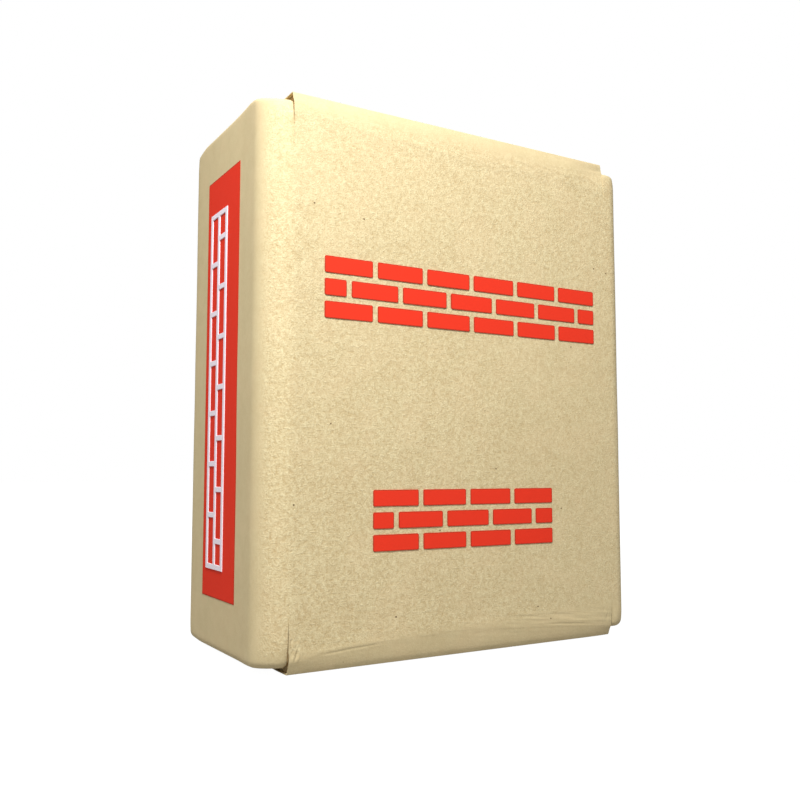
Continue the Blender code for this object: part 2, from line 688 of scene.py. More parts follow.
@dataclass(frozen=True)
class KraftPaper:
    """Unbleached kraft sack paper: a mottled, fibrous beige with a few dark specks.

    The grain shows on the broad faces. It is faint on the narrow sides and where the ends are folded tight.
    """

    name: str
    sizes: SackSizes
    pale: Colour
    deep: Colour
    strip_slope: float = 0.045
    warm: Colour = (0.700, 0.530, 0.310)
    speck: Colour = (0.13, 0.08, 0.035)
    cells_per_metre: float = 62.0
    specked_cells: float = 0.30
    # Painted shade: the colour that the slits beside the flaps and the fold cores' ends are darkened to
    slit_shade: Colour = (0.500, 0.350, 0.165)
    slit_shaded: bool = False
    roughness: float = 0.86

    def make(self) -> bpy.types.Material:
        """Build the paper's material.

        Returns:
            The material.
        """
        bench = Bench(self.name)
        spread = bench.add("ShaderNodeSeparateXYZ", {}, {"Vector": bench.coordinates})
        from_bottom = spread["Z"] - self.sizes.bottom_crease
        from_top = self.sizes.top_crease - spread["Z"]
        grain = self.grain_share(spread, from_bottom, from_top)
        cloud = bench.noise(0.110, 2.0, 0.5) - 0.5
        blotch = bench.noise(0.012, 2.0, 0.55) - 0.5
        mottle = bench.noise(0.0034, 3.0, 0.62) - 0.5
        tooth = bench.noise(0.0015, 2.0, 0.6) - 0.5
        upright = bench.noise(0.0012, 2.0, 0.6, bench.stretched((1.0, 1.0, 0.22), (0.0, 0.25, 0.1)))
        lying = bench.noise(0.0012, 2.0, 0.6, bench.stretched((0.24, 0.24, 1.0), (0.2, -0.35, 0.3)))
        fibres = upright.highest(lying).ramp(0.55, 0.72)
        tone = 0.46 + cloud * 0.22 + blotch * 0.27 + (mottle * 1.52 + tooth * 1.40 + fibres * 0.16) * grain
        colour = bench.mix(tone, self.deep, self.pale)
        warmth = bench.noise(0.028, 2.0, 0.5).ramp(0.42, 0.66)
        colour = bench.mix(warmth * 0.16, colour, self.warm)
        colour = bench.mix(self.specks(bench) * 0.85, colour, self.speck)
        # Painted shade: darken the slits beside the flaps and the fold cores' ends, where shade falls
        if self.slit_shaded:
            colour = bench.mix(self.slit_shade_share(spread, from_bottom, from_top), colour, self.slit_shade)
        height = (mottle * 0.9 + tooth * 0.8 + fibres * 0.25) * grain
        rough = self.roughness + mottle * 0.10
        normal = bench.bump(0.50, 0.0010, height)
        return bench.finish(Base_Color=colour, Roughness=rough, Normal=normal, Specular_IOR_Level=0.22)

    def specks(self, bench: Bench) -> Signal:
        """Where the dark specks are: small round dots of unlike size in some cells of a net.

        Args:
            bench: The paper's node tree.

        Returns:
            1 on a speck and 0 beside it.
        """
        values = {"Vector": bench.coordinates, "Scale": self.cells_per_metre}
        cells = bench.add("ShaderNodeTexVoronoi", {}, values)
        chosen = bench.add("ShaderNodeSeparateColor", {}, {"Color": cells["Color"]})
        radius = chosen["Green"] * 0.034 + 0.022
        return cells["Distance"].below(radius) * chosen["Red"].below(self.specked_cells)

    def grain_share(self, spread: Placed, from_bottom: Signal, from_top: Signal) -> Signal:
        """How strong the grain is at a place: full on the broad faces, faint at the sides and the folds.

        Args:
            spread: The place's coordinates.
            from_bottom: Its height over the bottom crease.
            from_top: Its depth under the top crease.

        Returns:
            The share, from nearly 0 to about 1. It fades a little to the right below the top fold, and
            towards the top left corner as a painted highlight, where the strong light washes the grain out;
            the smooth strip at the bottom widens to the right.
        """
        s = self.sizes
        off_side = 1.0 - spread["X"].away().ramp(s.half_width - 0.0080, s.half_width)
        off_bottom = (from_bottom - spread["X"] * self.strip_slope).ramp(0.019, 0.032)
        off_fold = off_bottom.lowest(from_top.ramp(0.008, 0.024))
        # Painted highlight: the grain's mottle fades towards the top left, as if washed out by the light
        # there
        highlight_wash = (1.0 - from_top.ramp(0.040, 0.160)) * (1.0 - spread["X"].ramp(-0.130, 0.050))
        right = spread["X"].ramp(-0.080, 0.190) * from_top.ramp(0.060, 0.240)
        fading = 1.03 - right * 0.28 - highlight_wash * 0.20
        return (off_side * 0.86 + 0.14) * (off_fold * 0.76 + 0.24) * fading

    def slit_shade_share(self, spread: Placed, from_bottom: Signal, from_top: Signal) -> Signal:
        """How much painted shade a place gets in the slits beside the flaps, where shade falls between flap
        and body.

        Args:
            spread: The place's coordinates.
            from_bottom: Its height over the bottom crease.
            from_top: Its depth under the top crease.

        Returns:
            The share, from 0 to nearly 1.
        """
        s = self.sizes
        across = spread["X"].away()
        beside = across.ramp(s.flap_half - 0.0062, s.flap_half - 0.0052)
        beside = beside * (1.0 - across.ramp(s.flap_half + 0.0002, s.flap_half + 0.0012))
        sunk = (s.half_depth - spread["Y"].away()).ramp(0.0004, 0.0016)
        near_end = 1.0 - from_bottom.ramp(0.018, 0.034) * from_top.ramp(0.010, 0.030)
        return beside * sunk * near_end * 0.88


@dataclass(frozen=True)
class PrintInk:
    """Printing ink on paper: an even colour through which the paper's tooth still shows."""

    name: str
    colour: Colour
    thin: Colour
    roughness: float = 0.80

    def make(self) -> bpy.types.Material:
        """Build the ink's material.

        Returns:
            The material.
        """
        bench = Bench(self.name)
        cloud = bench.noise(0.030, 2.0, 0.5) - 0.5
        mottle = bench.noise(0.0026, 3.0, 0.6) - 0.5
        colour = bench.mix(0.5 + cloud * 0.6 + mottle * 1.1, self.colour, self.thin)
        normal = bench.bump(0.16, 0.0004, mottle)
        rough = self.roughness + mottle * 0.16
        return bench.finish(Base_Color=colour, Roughness=rough, Normal=normal, Specular_IOR_Level=0.10)


@dataclass
class Finishes:
    """The materials of the sack, made once."""

    sizes: SackSizes
    kraft: bpy.types.Material = field(init=False)
    flap: bpy.types.Material = field(init=False)
    cover: bpy.types.Material = field(init=False)
    red: bpy.types.Material = field(init=False)
    red_rim_and_shade: bpy.types.Material = field(init=False)
    white: bpy.types.Material = field(init=False)

    def __post_init__(self) -> None:
        """Make every material."""
        pale, deep = (0.732, 0.634, 0.384), (0.491, 0.368, 0.187)
        cover_pale, cover_deep = (0.660, 0.525, 0.310), (0.480, 0.382, 0.215)
        self.kraft = KraftPaper("kraft_paper", self.sizes, pale, deep, slit_shaded=True).make()
        self.flap = KraftPaper("flap_paper", self.sizes, pale, deep).make()
        self.cover = KraftPaper("cover_paper", self.sizes, cover_pale, cover_deep).make()
        self.red = PrintInk("red_ink", (0.765, 0.037, 0.015), (0.725, 0.039, 0.017)).make()
        # Darker red for the print's rim and sides: partly thicker ink at the edge, partly painted shade on
        # the raised edges
        self.red_rim_and_shade = PrintInk("red_ink_rim_and_shade", (0.440, 0.036, 0.015), (0.500, 0.040, 0.017)).make()
        self.white = PrintInk("white_ink", (0.860, 0.780, 0.850), (0.820, 0.745, 0.800)).make()


def dress(piece: bpy.types.Object, material: bpy.types.Material, angle: float = 35.0) -> None:
    """Give a finished piece its material, its shading and its place on the body.

    Args:
        piece: The piece.
        material: Its material.
        angle: Edges that turn by more than this many degrees stay sharp.
    """
    make_active(piece)
    piece.data.materials.clear()
    piece.data.materials.append(material)
    bpy.ops.object.shade_smooth_by_angle(angle=math.radians(angle))
    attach(piece, "root")
    log.info("%s: %d faces", piece.name, len(piece.data.polygons))


@dataclass(frozen=True)
class InkBlock:
    """How a flat block of ink is shaped: its corners, its raised edge and the narrow rim around its face.

    A face of less area than least_face belongs to the rim or to the block's sides.
    """

    corner: float
    corner_segments: int
    edge: float
    rim: float
    least_face: float

    def shape(self, block: bpy.types.Object, axis: int, outer: float) -> None:
        """Round a plain block's corners and its raised edge, and set the rim off from its face.

        Args:
            block: The block, which lies flat in the paper.
            axis: The axis that its face looks down, 0 for X or 1 for Y.
            outer: Where its face lies along that axis.
        """
        with editing(block, "EDGE"):
            pick("edges", lambda e: abs(e.verts[0].co[axis] - e.verts[1].co[axis]) > TOUCH)
            round_off(self.corner, self.corner_segments)
            pick("edges", lambda e: all(abs(v.co[axis] - outer) < TOUCH for v in e.verts))
            round_off(self.edge, segments=2)
            bpy.ops.mesh.select_mode(type="FACE")
            pick("faces", lambda f: f.normal[axis] < -SQUARELY and f.calc_area() > self.least_face)
            bpy.ops.mesh.inset(thickness=self.rim)

    def dress(self, block: bpy.types.Object, finishes: Finishes) -> None:
        """Finish a block in red ink, with a darker red on its rim and narrow faces: partly thicker ink at the
        print's edge, partly painted shade on the raised edges.

        Args:
            block: The shaped block.
            finishes: The sack's materials.
        """
        dress(block, finishes.red, angle=20.0)
        block.data.materials.append(finishes.red_rim_and_shade)
        # The rim and the narrow side faces take the darker red, partly as painted shade
        for face in block.data.polygons:
            face.material_index = int(face.area < self.least_face)


@dataclass
class SackBody:
    """The tight filled body with its rounded edges, its tucked wings and the core of each folded end."""

    sizes: SackSizes
    edge_segments: int = 9
    rim_segments: int = 5
    grid: float = 0.0065
    end_grid: float = 0.0027
    end_zone: float = 0.0280
    slit_grid: float = 0.0023
    slit_inside: float = 0.0004
    slit_outside: float = 0.0006
    top_wing_tuck: float = 0.0075
    bottom_wing_tuck: float = 0.0030
    wing_skew: float = 0.0011
    tuck_start: float = 0.0560
    tuck_depth: float = 0.0600
    lean_depth: float = 0.0180
    wing_lean: float = 0.0025
    hidden_depth: float = 0.0340
    hidden_lean: float = 0.0044
    hidden_drop: float = 0.0026
    drop_depth: float = 0.0200
    hidden_edge: float = 0.0016
    top_dip: float = 0.0009
    bottom_dip: float = 0.0085
    side_sag: float = 0.0012
    sag_margin: float = 0.0100
    sag_band: Band = (-0.060, -0.010, 0.050, 0.080)
    bulge: float = 0.0008
    bulge_start: float = -0.0360
    core_depth: float = 0.0600
    core_recess: float = 0.0030
    core_clearance: float = 0.0001
    top_slit: float = 0.0007
    bottom_slit: float = 0.0014
    slit_depth: float = 0.0060
    slit_overlap: float = 0.0006
    slit_excess: float = 0.0020
    slit_slant: float = 0.98
    unevenness_rise: Span = (0.040, 0.120)
    obj: bpy.types.Object = field(init=False)

    def build(self) -> None:
        """Model the body as one closed mesh."""
        s = self.sizes
        low, high = s.rim(End.BOTTOM), s.rim(End.TOP)
        size = (2.0 * s.half_width, 2.0 * s.half_depth, high - low)
        self.obj = add_block("sack_body", size, (0.0, 0.0, (low + high) / 2.0))
        with editing(self.obj, "EDGE"):
            for radius in (s.soft_radius, s.upright_radius):
                pick("edges", lambda e: self.is_upright(e) and s.edge_radius(e.verts[0].co) == radius)
                round_off(radius, round(self.edge_segments * radius / s.upright_radius))
            for end in End:
                pick("edges", lambda e: all(abs(v.co.z - s.rim(end)) < s.ply for v in e.verts))
                round_off(s.rim_radius(end), self.rim_segments)
        self.divide()
        for vertex in self.obj.data.vertices:
            vertex.co = self.settled(vertex.co)
        cores = [self.fold_core(end) for end in End]
        combine(self.obj, join(cores, "cores"), "UNION")
        blades = [self.slit_blade(end, face, flank) for end in End for face in Face for flank in Flank]
        combine(self.obj, join(blades, "blades"), "DIFFERENCE")
        unevenness = Relief(strength=0.0008, feature=(0.085, 0.085, 0.120), shift=(0.03, 0.01, 0.02))
        unevenness.work_into(self.obj, self.unevenness_share)

    def is_upright(self, edge: bmesh.types.BMEdge) -> bool:
        """Find out whether an edge is one of the block's four upright corners.

        Args:
            edge: An edge of the block.

        Returns:
            True where it is, also once a neighbour is rounded.
        """
        corner = abs(edge.verts[0].co.x) + abs(edge.verts[0].co.y)
        tall = abs(edge.verts[0].co.z - edge.verts[1].co.z) > self.sizes.half_width
        return tall and corner > self.sizes.half_width + self.sizes.half_depth - self.sizes.ply

    def divide(self) -> None:
        """Cut the body into an even net that can take relief, finer towards its ends and by the slits."""
        s = self.sizes
        low, high = s.rim(End.BOTTOM), s.rim(End.TOP)
        flat_x = s.half_width - s.upright_radius
        flat_y = s.half_depth - s.upright_radius
        slit_from = s.flap_half - self.slit_inside
        slit_to = s.flap_half + self.slit_outside
        spans = (
            (ACROSS, -slit_from, slit_from, self.grid),
            (ACROSS, -flat_x, -slit_to, self.slit_grid),
            (ACROSS, slit_to, flat_x, self.slit_grid),
            (ALONG, -flat_y, flat_y, self.grid),
            (UP, low + self.end_zone, high - self.end_zone, self.grid),
            (UP, low + s.rim_radius(End.BOTTOM), low + self.end_zone, self.end_grid),
            (UP, high - self.end_zone, high - s.rim_radius(End.TOP), self.end_grid),
        )
        with editing(self.obj):
            for normal, start, stop, step in spans:
                parts = round((stop - start) / step)
                for i in range(parts + 1):
                    cut(normal, start + (stop - start) * i / parts)

    def settled(self, place: Vector) -> Vector:
        """Find where a point of the plain block lies once the ends are tucked and the wings lean in.

        Args:
            place: The point on the block.

        Returns:
            The point on the filled sack.
        """
        s = self.sizes
        radius = s.edge_radius(place)
        flat_x = s.half_width - radius
        flat_y = s.half_depth - radius
        arc_centre = Vector((max(-flat_x, min(flat_x, place.x)), max(-flat_y, min(flat_y, place.y)), place.z))
        outward = place - arc_centre
        facing = abs(outward.y) / max(outward.length, 1e-9)
        slope = smoothstep(self.tuck_start, s.half_depth, abs(place.y))
        face = Face.BACK if place.y > 0.0 else Face.FRONT
        under_flap = s.flap_half - s.ply
        moved = place.copy()
        for end in End:
            top = end is End.TOP
            inward = (s.rim(end) - place.z) * end.value
            near_end = 1.0 - smoothstep(0.0, self.tuck_depth, inward)
            dip = self.top_dip if top else self.bottom_dip
            hidden = 1.0 - smoothstep(under_flap, s.flap_half + dip, abs(place.x))
            covered = 1.0 - smoothstep(under_flap, s.flap_half + self.hidden_edge, abs(place.x))
            tuck = self.top_wing_tuck if top else self.bottom_wing_tuck
            tuck += self.wing_skew * place.x / s.half_width
            tucked = tuck * slope * near_end
            tucked += self.hidden_drop * covered * (1.0 - smoothstep(0.0, self.drop_depth, inward))
            if top:
                tucked += self.sagged(place) * near_end
            moved.z -= end.value * tucked
            wing_lean = self.wing_lean * max(0.0, 1.0 - inward / self.lean_depth) ** 2
            hidden_lean = self.hidden_lean * max(0.0, 1.0 - inward / self.hidden_depth) ** 2
            hidden_lean += s.curl(end, face, place)
            lean = wing_lean + (hidden_lean - wing_lean) * hidden
            moved -= outward * (lean * facing / radius)
        moved.x -= self.bulged(place)
        return moved

    def sagged(self, place: Vector) -> float:
        """How far the rims over the narrow sides sag, behind their middle."""
        beside = smoothstep(self.sizes.flap_half - self.sag_margin, self.sizes.flap_half, abs(place.x))
        return self.side_sag * beside * hump(*self.sag_band, place.y)

    def bulged(self, place: Vector) -> float:
        """How far the left side is filled out by its soft front edge.

        Args:
            place: The point on the block.

        Returns:
            The distance outwards along X.
        """
        s = self.sizes
        out = smoothstep(s.flap_half, s.half_width, -place.x)
        return self.bulge * out * smoothstep(self.bulge_start, s.soft_radius - s.half_depth, place.y)

    def fold_core(self, end: End) -> bpy.types.Object:
        """Model the folded plies behind an end's flaps.

        Args:
            end: The end of the sack.

        Returns:
            A closed block that reaches into the body.
        """
        s = self.sizes
        skin = s.ply + self.core_clearance
        crease = s.crease(end)
        size = (2.0 * (s.flap_half - self.core_recess), 2.0 * (s.half_depth - skin), self.core_depth - skin)
        centre = (0.0, 0.0, crease - end.value * (self.core_depth + skin) / 2.0)
        core = add_block(f"core_{end.name.lower()}", size, centre)
        with editing(core):
            pick("faces", lambda f: f.normal.z * end.value > SQUARELY)
            bpy.ops.transform.resize(value=(1.0, 1.0 + s.lean(end)[-1].out / s.half_depth, 1.0))
        with editing(core, "EDGE"):
            for bend in s.lean(end)[:-1]:
                level = crease - end.value * bend.depth
                cut(UP, level)
                pick("verts", lambda v: abs(v.co.z - level) < TOUCH)
                half_now = max(v.co.y for v in bmesh.from_edit_mesh(core.data).verts if v.select)
                half_then = s.half_depth - skin + min(bend.out, 0.0)
                bpy.ops.transform.resize(value=(1.0, half_then / half_now, 1.0))
        for vertex in core.data.vertices:
            face = Face.BACK if vertex.co.y > 0.0 else Face.FRONT
            vertex.co.y -= face.value * s.curl(end, face, vertex.co)
        return core

    def slit_blade(self, end: End, face: Face, flank: Flank) -> bpy.types.Object:
        """Model the wedge that opens the slit beside a flap.

        Args:
            end: The end of the sack.
            face: The broad face that the slit is in.
            flank: The side of the sack that it is near.

        Returns:
            A closed wedge, deepest at the end and running out along the face.
        """
        s = self.sizes
        reach = s.flap_reach(end)
        crease = s.crease(end)
        width = self.top_slit if end is End.TOP else self.bottom_slit
        across = flank.value * (s.flap_half + width / 2.0 - self.slit_overlap)
        middle = crease - end.value * (reach - self.slit_excess) / 2.0
        size = (width, 2.0 * self.slit_depth, reach + self.slit_excess)
        blade = add_block("slit_blade", size, (across, face.value * s.half_depth, middle))

        def at_tip(vertex: bmesh.types.BMVert) -> bool:
            """Whether a corner is an inner one where the wedge runs out."""
            return (vertex.co.z - middle) * end.value < 0.0 and vertex.co.y * face.value < s.half_depth

        with editing(blade, "VERT"):
            pick("verts", at_tip)
            bpy.ops.transform.translate(value=(0.0, face.value * self.slit_depth * self.slit_slant, 0.0))
        return blade

    def unevenness_share(self, place: Vector) -> float:
        """How uneven the filled body is at a place: flat by the flaps, and more so in the middle."""
        from_end = min(place.z - self.sizes.bottom_crease, self.sizes.top_crease - place.z)
        return smoothstep(*self.unevenness_rise, from_end)

    def dress(self, finishes: Finishes) -> None:
        """Args:
            finishes: The sack's materials.
        """
        dress(self.obj, finishes.kraft)
        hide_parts("paper_sack")


@dataclass(frozen=True)
class FoldMark:
    """An old fold across a flap's lean. Its points are where its shaded side is seen, as pairs of X and Z."""

    points: tuple[Point2, ...]
    width: float
    depth: float
    shaded_side: float = 0.0009
    fading_share: float = 0.3
    ridge_at: float = 3.1
    ridge_width: float = 2.0
    ridge_share: float = 0.45

    def pressed(self, place: Vector) -> float:
        """How far the paper is pressed in at a place, with a low ridge above the mark.

        Args:
            place: The point on the flap.

        Returns:
            The distance inwards along Y.
        """
        start, stop = self.points[0][0], self.points[-1][0]
        if not start < place.x < stop:
            return 0.0
        for (x0, z0), (x1, z1) in zip(self.points, self.points[1:]):
            if place.x <= x1:
                break
        above = place.z - (z0 + (z1 - z0) * (place.x - x0) / (x1 - x0)) + self.shaded_side
        fading = (stop - start) * self.fading_share
        ends = hump(start, start + fading, stop - fading, stop, place.x)
        groove = math.exp(-((above / self.width) ** 2))
        ridge = math.exp(-(((above - self.ridge_at * self.width) / (self.ridge_width * self.width)) ** 2))
        return ends * self.depth * (groove - self.ridge_share * ridge)


BOTTOM_FRONT_MARKS = (
    FoldMark(((-0.1560, 0.0155), (-0.1430, 0.0162), (-0.1205, 0.0180), (-0.0840, 0.0200)), 0.0009, 0.00032),
    FoldMark(((0.0860, 0.0207), (0.1238, 0.0181), (0.1530, 0.0160)), 0.0008, 0.00024),
    FoldMark(((0.0860, 0.0299), (0.1340, 0.0265)), 0.0008, 0.00016),
    FoldMark(((0.1180, 0.0232), (0.1480, 0.0213)), 0.0008, 0.00014),
    FoldMark(((0.0480, 0.0309), (0.0860, 0.0286)), 0.0008, 0.00015),
)


@dataclass
class EndFlap:
    """One long flap: it leaves the broad face, leans in to the crease and lies folded over the end."""

    sizes: SackSizes
    end: End
    face: Face
    columns: int = 118
    end_columns: int = 26
    end_column: float = 0.0007
    fine_step: float = 0.0012
    marked_step: float = 0.0007
    coarse_step: float = 0.0050
    fine_margin: float = 0.0020
    front_sinks: float = 0.0009
    overhang: float = 0.0016
    overhang_from: float = 0.1500
    top_overhang_rise: Span = (-0.001, 0.010)
    wrinkle_band: Band = (0.008, 0.017, 0.026, 0.036)
    pucker_band: Band = (0.009, 0.016, 0.026, 0.034)
    pucker_ends: Band = (0.0, 0.002, 0.006, 0.015)
    top_puckers: float = 0.15
    ragged_length: float = 0.0120
    marks: tuple[FoldMark, ...] = ()
    obj: bpy.types.Object = field(init=False)

    @property
    def name(self) -> str:
        """The flap's name."""
        return f"{self.end.name.lower()}_{self.face.name.lower()}_flap"

    def outline(self) -> list[Bend]:
        """Follow the flap's outer surface.

        Returns:
            Its corners, from inside the body to its free edge. The front flap's lies under the back one's.
        """
        s = self.sizes
        crown = s.crown(self.end)
        sunk = (self.front_sinks if self.face is Face.FRONT else 0.0) - crown
        return [
            Bend(s.half_depth - 0.0002, s.flap_reach(self.end) + 0.0120),
            *(Bend(s.half_depth + bend.out, bend.depth, bend.radius) for bend in s.lean(self.end)),
            Bend(s.crown_edge, -crown, 0.040),
            Bend(0.050, -crown, 0.060),
            Bend(0.026, sunk, 0.060),
            Bend(-s.past_middle, sunk),
        ]

    def build(self) -> None:
        """Model the flap as a thin folded sheet with handling wrinkles."""
        s = self.sizes
        crease = s.crease(self.end)
        fine_from = s.half_depth + s.lean(self.end)[-1].out - self.fine_margin
        fine_step = self.marked_step if self.marks else self.fine_step
        line = folded_line(self.outline(), lambda out: fine_step if out > fine_from else self.coarse_step)
        route = [Vector((0.0, self.face.value * out, crease - self.end.value * depth)) for out, depth in line]
        insets = [s.flap_half - (i + 1) * self.end_column for i in range(self.end_columns)]
        cuts = [flank.value * inset for flank in Flank for inset in insets]
        self.obj = sweep_paper(self.name, -s.flap_half, s.flap_half, self.columns, route, cuts)
        for vertex in self.obj.data.vertices:
            vertex.co.y -= self.face.value * s.curl(self.end, self.face, vertex.co)
            towards_end = smoothstep(self.overhang_from, s.flap_half, -self.face.value * vertex.co.x)
            if self.end is End.TOP:
                towards_end *= smoothstep(*self.top_overhang_rise, s.depth(self.end, vertex.co))
            vertex.co.x -= self.face.value * self.overhang * towards_end
            vertex.co = s.bowed(vertex.co)
            vertex.co.y += sum(mark.pressed(vertex.co) for mark in self.marks)
        lying = Relief(0.00080, (0.045, 0.030, 0.0034), shift=(0.011, 0.0, 0.003), turn=0.10)
        lying.work_into(self.obj, self.lean_share)
        puckers = Relief(0.00240, (0.0024, 0.020, 0.0090), shift=(0.0, 0.02, 0.0), turn=0.25)
        puckers.work_into(self.obj, self.corner_share)
        ragged = Relief(0.0020, (0.030, 0.030, 0.022), direction="X", shift=(0.005, 0.0, 0.002))
        ragged.work_into(self.obj, self.edge_share)
        thicken_paper(self.obj, s.ply, ALONG * self.face.value)

    def lean_share(self, place: Vector) -> float:
        """Lying wrinkles: by the bend where the flap starts to lean in, and most to the right."""
        band = hump(*self.wrinkle_band, self.sizes.depth(self.end, place))
        return band * (0.30 + 0.45 * smoothstep(-0.020, 0.060, place.x))

    def corner_share(self, place: Vector) -> float:
        """Find how much of the short upright puckers a place gets: close to the flap's ends, by the bend.

        Args:
            place: The point on the flap.

        Returns:
            The share, from 0 to 1.
        """
        from_end = self.sizes.flap_half - abs(place.x)
        band = hump(*self.pucker_band, self.sizes.depth(self.end, place))
        share = self.top_puckers if self.end is End.TOP else 1.0 - 0.6 * smoothstep(-0.1, 0.1, place.x)
        return share * band * hump(*self.pucker_ends, from_end)

    def edge_share(self, place: Vector) -> float:
        """Raggedness of the flap's two cut ends."""
        return 1.0 - smoothstep(0.0, self.ragged_length, self.sizes.flap_half - abs(place.x))

    def dress(self, finishes: Finishes) -> None:
        """Finish the flap in the body's paper."""
        dress(self.obj, finishes.flap, angle=50.0)
        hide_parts("paper_sack")


@dataclass
class EndCover:
    """The cover sheet that is pasted over the folded flaps of one end."""

    sizes: SackSizes
    end: End
    columns: int = 86
    rows: int = 44
    corner_cut: float = 0.0024
    crown_fall: Span = (0.070, 0.094)
    lap_step: float = 0.00025
    wavy_fall: Span = (0.150, 0.170)
    obj: bpy.types.Object = field(init=False)

    @property
    def node(self) -> str:
        """The frame's node that the cover stands for."""
        return f"{self.end.name.lower()}_end_patch"

    def build(self) -> None:
        """Model the cover as a thin sheet with cut corners, and at the top end a faint print of the plies
        below.
        """
        low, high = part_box(self.node)
        outer = high.z if self.end is End.TOP else low.z
        leave_nothing_selected()
        grid = {"x_subdivisions": self.columns, "y_subdivisions": self.rows, "size": 1.0}
        bpy.ops.mesh.primitive_grid_add(**grid, location=UP * outer)
        bpy.context.object.scale = (high.x - low.x, high.y - low.y, 1.0)
        self.obj = place_and_name(f"{self.end.name.lower()}_end_cover")
        with editing(self.obj, "VERT"):
            pick("verts", lambda v: abs(v.co.x) > high.x - TOUCH and abs(v.co.y) > high.y - TOUCH)
            bpy.ops.mesh.bevel(offset=self.corner_cut, segments=4, affect="VERTICES")
        if self.end is End.TOP:
            self.press_over_plies()
        thicken_paper(self.obj, high.z - low.z, UP * self.end.value)

    def press_over_plies(self) -> None:
        """Work in the step of the overlapped flaps below and the waviness of pasted paper."""
        with editing(self.obj, "VERT"):
            pick("verts", lambda v: v.co.y < -self.sizes.past_middle)
            bpy.ops.transform.translate(value=(0.0, 0.0, -self.lap_step))
        for vertex in self.obj.data.vertices:
            vertex.co.z += self.sizes.top_crown * (1.0 - smoothstep(*self.crown_fall, abs(vertex.co.y)))
        wavy = Relief(0.0007, (0.045, 0.020, 0.050), direction="Z")
        wavy.work_into(self.obj, lambda place: 1.0 - smoothstep(*self.wavy_fall, abs(place.x)))

    def dress(self, finishes: Finishes) -> None:
        """Finish the cover in its own paper."""
        dress(self.obj, finishes.cover, angle=50.0)
        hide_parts(self.node)


@dataclass
class TubeSeam:
    """The pasted lap of the paper tube, which runs up the back and over both ends."""

    sizes: SackSizes
    left: float = 0.052
    right: float = 0.094
    lift: float = 0.0007
    thickness: float = 0.0006
    pasted_sink: float = 0.0010
    wander_width: float = 0.0100
    columns: int = 14
    step: float = 0.006
    obj: bpy.types.Object = field(init=False)

    def outline(self) -> list[Bend]:
        """Follow the lap's outer surface.

        Returns:
            Its corners, from the top end over the back to the bottom end.
        """
        s = self.sizes
        bends: list[Bend] = []
        half = s.half_depth + self.lift
        for end in End:
            crease = s.crease(end)
            up = end.value
            crown = s.crown(end)
            over_crease, *below = reversed(s.lean(end))
            lean = [
                Bend(0.060, crease + up * self.lift * 0.3 + crown),
                Bend(s.crown_edge, crease + up * self.lift * 0.4 + crown, 0.040),
                Bend(half + over_crease.out - 0.0004, crease + up * self.lift * 0.5, 0.0012),
                *(Bend(half + bend.out, crease - up * bend.depth, 0.020) for bend in below),
                Bend(half, crease - up * (s.flap_reach(end) + 0.010), 0.050),
            ]
            bends.extend(lean if end is End.TOP else reversed(lean))
        return bends

    def build(self) -> None:
        """Model the lap as a thin strip with one free edge and one that is pasted down."""
        line = folded_line(self.outline(), lambda out: self.step)
        route = [Vector((0.0, out, height)) for out, height in line]
        self.obj = sweep_paper("tube_seam", self.left, self.right, self.columns, route)
        for vertex in self.obj.data.vertices:
            vertex.co = self.sizes.bowed(vertex.co)
        wander = Relief(0.0014, (0.020, 0.040, 0.060), direction="X")
        wandering = (self.left, self.left + self.wander_width)
        wander.work_into(self.obj, lambda place: 1.0 - smoothstep(*wandering, place.x))
        with editing(self.obj, "VERT"):
            pick("verts", lambda v: v.co.x > self.right - TOUCH)
            bpy.ops.transform.translate(value=(0.0, -self.pasted_sink, 0.0))
        thicken_paper(self.obj, self.thickness, UP)

    def dress(self, finishes: Finishes) -> None:
        """Finish the lap in the body's paper."""
        dress(self.obj, finishes.kraft, angle=50.0)
        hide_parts("paper_sack")


@dataclass
class BrickBand:
    """A printed band of brickwork in running bond on the broad front face."""

    sizes: SackSizes
    name: str
    left: float
    right: float
    low: float
    high: float
    bricks: int
    courses: int = 3
    joint: float = 0.0050
    relief: float = 0.0007
    sunk: float = 0.0012
    ink: InkBlock = InkBlock(corner=0.0016, corner_segments=4, edge=0.00020, rim=0.0006, least_face=1e-4)
    obj: bpy.types.Object = field(init=False)

    def brick(self, length: float, height: float) -> bpy.types.Object:
        """Model one brick of the band at the band's lower left corner.

        Args:
            length: Its length along X.
            height: Its height along Z.

        Returns:
            The brick.
        """
        face = -self.sizes.half_depth
        middle = face + (self.sunk - self.relief) / 2.0
        centre = (self.left + length / 2.0, middle, self.low + height / 2.0)
        piece = add_block("brick", (length, self.relief + self.sunk, height), centre)
        self.ink.shape(piece, axis=1, outer=face - self.relief)
        return piece

    def build(self) -> None:
        """Lay the band's courses, every other one offset by half a brick."""
        pitch = (self.right - self.left + self.joint) / self.bricks
        height = (self.high - self.low - (self.courses - 1) * self.joint) / self.courses
        whole = self.brick(pitch - self.joint, height)
        half = self.brick(pitch / 2.0 - self.joint, height)
        laid: list[bpy.types.Object] = []
        for course in range(self.courses):
            up = course * (height + self.joint)
            offset = pitch / 2.0 if course % 2 else 0.0
            wholes = self.bricks - 1 if course % 2 else self.bricks
            laid.extend(copy_to(whole, (offset + i * pitch, 0.0, up)) for i in range(wholes))
            if course % 2:
                laid.append(copy_to(half, (0.0, 0.0, up)))
                laid.append(copy_to(half, (self.right - self.left - pitch / 2.0 + self.joint, 0.0, up)))
        for pattern in (whole, half):
            bpy.data.objects.remove(pattern, do_unlink=True)
        self.obj = join(laid, self.name)

    def dress(self, finishes: Finishes) -> None:
        """Finish the band in red ink."""
        self.ink.dress(self.obj, finishes)


